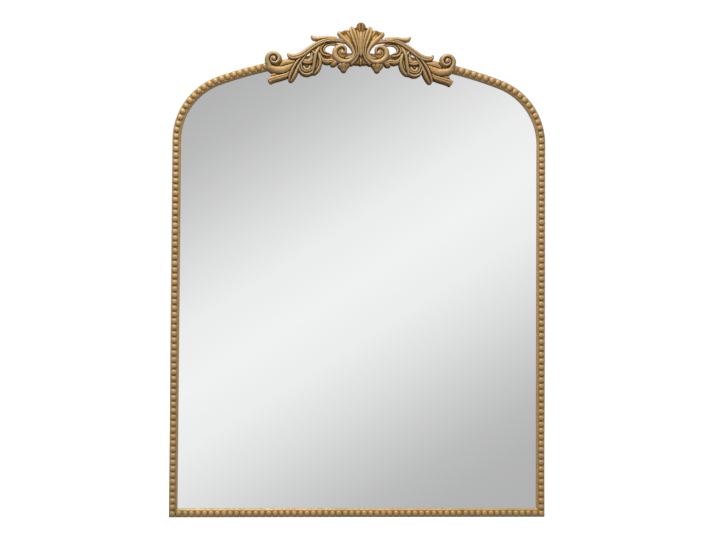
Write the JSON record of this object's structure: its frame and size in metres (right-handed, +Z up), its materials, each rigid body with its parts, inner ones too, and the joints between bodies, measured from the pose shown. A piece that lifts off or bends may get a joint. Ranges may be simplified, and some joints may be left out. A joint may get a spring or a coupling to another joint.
{
  "type": "arched wall mirror",
  "caption": "Arch-topped wall mirror in a slim beaded gilt moulding, with a pierced carved crest and hanging rings on its back.",
  "frame": {"origin": "middle of the underside of the bottom rail, in the plane of the glass's front face", "axes": "+Z up, +X to the right as seen from the front, the glass faces -Y and the wall side is +Y"},
  "size_m": [0.77, 0.044, 1.016],
  "materials": {
    "gilded_moulding": "antique gold leaf over carved wood, dark wash in the hollows",
    "gilded_crest": "antique gold over a cast resin carving, dark wash in the hollows",
    "mirror_glass": "plain silvered float glass, no bevel",
    "backboard": "raw fibreboard",
    "dowel_wood": "plain beech",
    "steel": "zinc plated",
    "brassed_steel": "brass plated steel",
    "bumper_rubber": "matt",
    "pad_foam": "matt foam"
  },
  "bodies": {
    "mirror": {"left_stile": "gilded_moulding", "right_stile": "gilded_moulding", "bottom_rail": "gilded_moulding", "top_arch": "gilded_moulding", "left_shoulder_dowel": "dowel_wood", "right_shoulder_dowel": "dowel_wood", "left_corner_vnails": "steel", "right_corner_vnails": "steel", "mirror_glass": "mirror_glass", "glass_pads": "pad_foam", "backboard": "backboard", "backboard_screws": "steel", "crest_centre": "gilded_crest", "crest_left_wing": "gilded_crest", "crest_right_wing": "gilded_crest", "crest_centre_screws": "steel", "crest_left_wing_screws": "steel", "crest_right_wing_screws": "steel", "left_hanger_strap": "brassed_steel", "right_hanger_strap": "brassed_steel", "left_hanger_screws": "steel", "right_hanger_screws": "steel", "left_bumper": "bumper_rubber", "right_bumper": "bumper_rubber"},
    "left_ring": {"left_hanger_ring": "brassed_steel"},
    "right_ring": {"right_hanger_ring": "brassed_steel"}
  },
  "joints": [
    {"name": "left_ring_swing", "type": "hinge", "parent": "mirror", "child": "left_ring", "pos_m": [-0.355, 0.0171, 0.73006], "axis": [1, 0, 0], "range_deg": [0, 180]},
    {"name": "right_ring_swing", "type": "hinge", "parent": "mirror", "child": "right_ring", "pos_m": [0.355, 0.0171, 0.73006], "axis": [1, 0, 0], "range_deg": [0, 180]}
  ]
}
